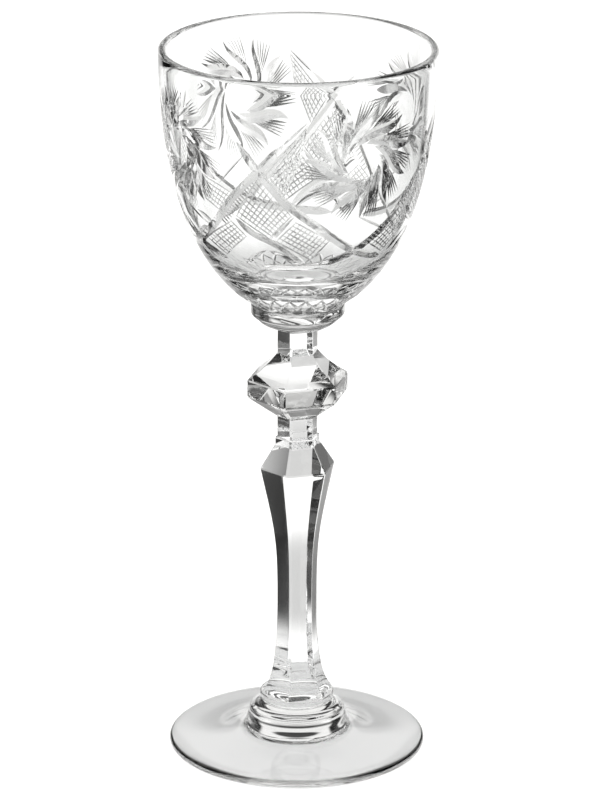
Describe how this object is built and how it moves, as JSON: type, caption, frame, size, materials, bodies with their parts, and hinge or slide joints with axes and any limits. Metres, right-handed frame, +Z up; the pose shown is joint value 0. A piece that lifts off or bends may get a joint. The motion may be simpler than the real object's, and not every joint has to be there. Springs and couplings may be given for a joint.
{
  "type": "stemmed wine glass",
  "caption": "Clear cut-crystal wine glass: deep bowl on a collar, faceted knop and baluster stem, round domed foot.",
  "frame": {"origin": "on the table, at the middle of the foot", "axes": "+Z up along the stem to the lip; -Y is a flat of the six-sided stem"},
  "size_m": [0.0714, 0.0714, 0.19],
  "materials": {
    "clear_glass": "clear polished lead crystal, cut and polished decoration on the bowl"
  },
  "bodies": {
    "root": {"foot": "clear_glass", "foot_button": "clear_glass", "stem_shaft": "clear_glass", "lower_neck": "clear_glass", "knop": "clear_glass", "upper_neck": "clear_glass", "bowl_collar": "clear_glass", "bowl": "clear_glass"}
  },
  "joints": []
}
